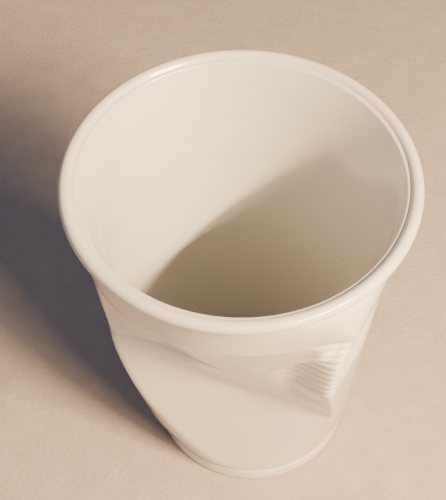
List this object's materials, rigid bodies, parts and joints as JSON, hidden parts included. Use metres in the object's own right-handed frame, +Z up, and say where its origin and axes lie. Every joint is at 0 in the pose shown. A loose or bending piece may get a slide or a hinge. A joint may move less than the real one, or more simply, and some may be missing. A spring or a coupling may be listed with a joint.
{
  "type": "crumpled porcelain cup",
  "caption": "Tall tapered drinking cup with a thick round rim, shallow ribs and a crumpled, dented front, in one piece of cream glazed porcelain.",
  "frame": {"origin": "centre of the foot, on the plane that the cup stands on", "axes": "+Z up along the cup's axis, -Y the dented front, +X to the right of a viewer who faces the front"},
  "size_m": [0.08, 0.08, 0.096],
  "materials": {
    "cup": "glossy clear glaze over warm white porcelain, slightly uneven, with a few pinholes"
  },
  "bodies": {
    "root": {"cup": "cup"}
  },
  "joints": []
}
